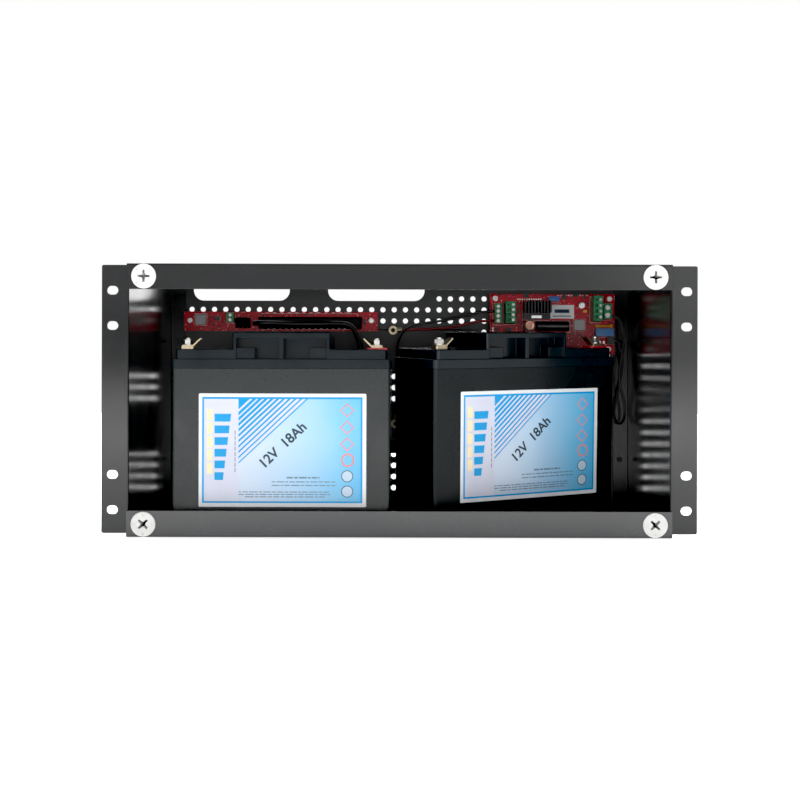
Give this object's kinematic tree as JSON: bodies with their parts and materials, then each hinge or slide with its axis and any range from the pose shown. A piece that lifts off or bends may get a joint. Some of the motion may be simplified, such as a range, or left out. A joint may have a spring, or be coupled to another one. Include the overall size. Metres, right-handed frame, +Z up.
{
  "type": "uninterruptible power supply",
  "caption": "Rack-mounted uninterruptible power supply in an open-front folded steel chassis with perforated back, two tilting sealed batteries and red circuit boards.",
  "frame": {"origin": "centre of the chassis bottom face", "axes": "+X to the right seen from the front, +Y towards the back, +Z up"},
  "size_m": [0.4826, 0.1838, 0.222],
  "materials": {
    "chassis_paint": "fine textured semi-gloss powder coat",
    "black_paint": "satin",
    "zinc": "satin",
    "white_nylon": "smooth moulded",
    "battery_case": "fine grained ABS",
    "battery_lid": "smooth ABS",
    "lead_plates": "matte lead",
    "tinned_terminal": "tinned",
    "red_plastic": "gloss",
    "label_film": "printed film",
    "board_laminate": "red solder mask",
    "psu_laminate": "bare laminate",
    "chip_black": "matte",
    "shield_grey": "satin",
    "terminal_green": "matte",
    "heatsink_black": "black anodised",
    "capacitor_sleeve": "satin",
    "copper_coil": "enamelled copper",
    "blue_box": "gloss",
    "fuse_orange": "gloss",
    "lead_red": "soft PVC",
    "lead_black": "soft PVC"
  },
  "bodies": {
    "chassis": {"back_panel": "chassis_paint", "battery_lead_black": "lead_black", "battery_lead_red": "lead_red", "battery_rest_pad": "lead_black", "battery_terminal_block": "terminal_green", "board_link_cable": "lead_black", "board_screws": "zinc", "board_standoffs": "tinned_terminal", "bottom_panel": "chassis_paint", "chassis_rivets": "zinc", "control_board": "board_laminate", "control_board_chip": "shield_grey", "control_board_parts": "chip_black", "control_board_terminal": "terminal_green", "cover_snap_sockets": "white_nylon", "cross_rail_screws": "zinc", "input_header": "terminal_green", "output_header": "terminal_green", "psu_base": "zinc", "psu_circuit_board": "psu_laminate", "psu_components": "chip_black", "psu_cover": "black_paint", "psu_mount_screws": "zinc", "psu_terminal_block": "chip_black", "rear_cross_rail": "black_paint", "ring_lugs": "tinned_terminal", "side_connector": "heatsink_black", "side_panel_left": "chassis_paint", "side_panel_right": "chassis_paint", "signal_loop_cable": "lead_black", "signal_terminal_block": "terminal_green", "terminal_screws": "zinc", "top_panel": "chassis_paint", "ups_blue_relay": "blue_box", "ups_board": "board_laminate", "ups_board_parts": "chip_black", "ups_capacitor": "capacitor_sleeve", "ups_fuse": "fuse_orange", "ups_heatsink": "heatsink_black", "ups_inductor": "copper_coil", "ups_power_module": "heatsink_black", "ups_square_chip": "shield_grey"},
    "battery_left": {"battery_left_bolts": "zinc", "battery_left_container": "battery_case", "battery_left_label": "label_film", "battery_left_lid": "battery_lid", "battery_left_plate_packs": "lead_plates", "battery_left_positive_ring": "red_plastic", "battery_left_terminals": "tinned_terminal"},
    "battery_right": {"battery_right_bolts": "zinc", "battery_right_container": "battery_case", "battery_right_label": "label_film", "battery_right_lid": "battery_lid", "battery_right_plate_packs": "lead_plates", "battery_right_positive_ring": "red_plastic", "battery_right_terminals": "tinned_terminal"},
    "input_plug": {"input_plug": "terminal_green", "input_plug_screws": "zinc"},
    "output_plug": {"output_plug": "terminal_green", "output_plug_screws": "zinc"}
  },
  "joints": [
    {"name": "battery_left_tilt", "type": "hinge", "parent": "chassis", "child": "battery_left", "pos_m": [-0.09745, -0.0735, 0.0035], "axis": [1, 0, 0], "range_deg": [0, 22]},
    {"name": "battery_right_tilt", "type": "hinge", "parent": "chassis", "child": "battery_right", "pos_m": [0.10855, -0.02832, 0.00641], "axis": [0.8988, 0.4373, 0.0305], "range_deg": [0, 16]},
    {"name": "input_plug_slide", "type": "slide", "parent": "chassis", "child": "input_plug", "axis": [0, -1, 0], "range_m": [0, 0.008]},
    {"name": "output_plug_slide", "type": "slide", "parent": "chassis", "child": "output_plug", "axis": [0, -1, 0], "range_m": [0, 0.008]}
  ]
}
